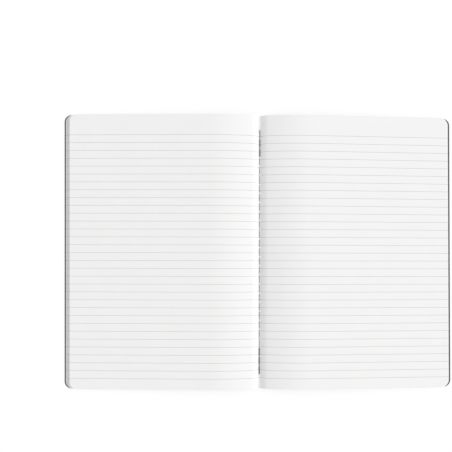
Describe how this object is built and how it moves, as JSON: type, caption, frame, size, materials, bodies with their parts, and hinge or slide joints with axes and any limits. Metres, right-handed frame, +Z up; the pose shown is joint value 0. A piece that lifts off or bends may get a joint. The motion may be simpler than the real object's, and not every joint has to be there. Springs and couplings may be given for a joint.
{
  "type": "open composition notebook",
  "caption": "Open soft-cover notebook: arched ruled pages over a folded card cover, sewn through the fold with thread. One half swings up and over to close it.",
  "frame": {"origin": "on the table, under the middle of the fold", "axes": "+X across the pages to the right, +Y up the page to its head, +Z up from the table"},
  "size_m": [0.3574, 0.25, 0.009],
  "materials": {
    "cover": "matt dark grey-green card",
    "pages": "matt white uncoated paper",
    "thread": "matt dark blue-grey thread"
  },
  "bodies": {
    "right_half": {"back_cover": "cover", "right_pages": "pages", "binding_thread": "thread"},
    "left_half": {"front_cover": "cover", "left_pages": "pages"}
  },
  "joints": [
    {"name": "spine_fold", "type": "hinge", "parent": "right_half", "child": "left_half", "pos_m": [0, 0, 0.0092], "axis": [0, 1, 0], "range_deg": [0, 180]}
  ]
}
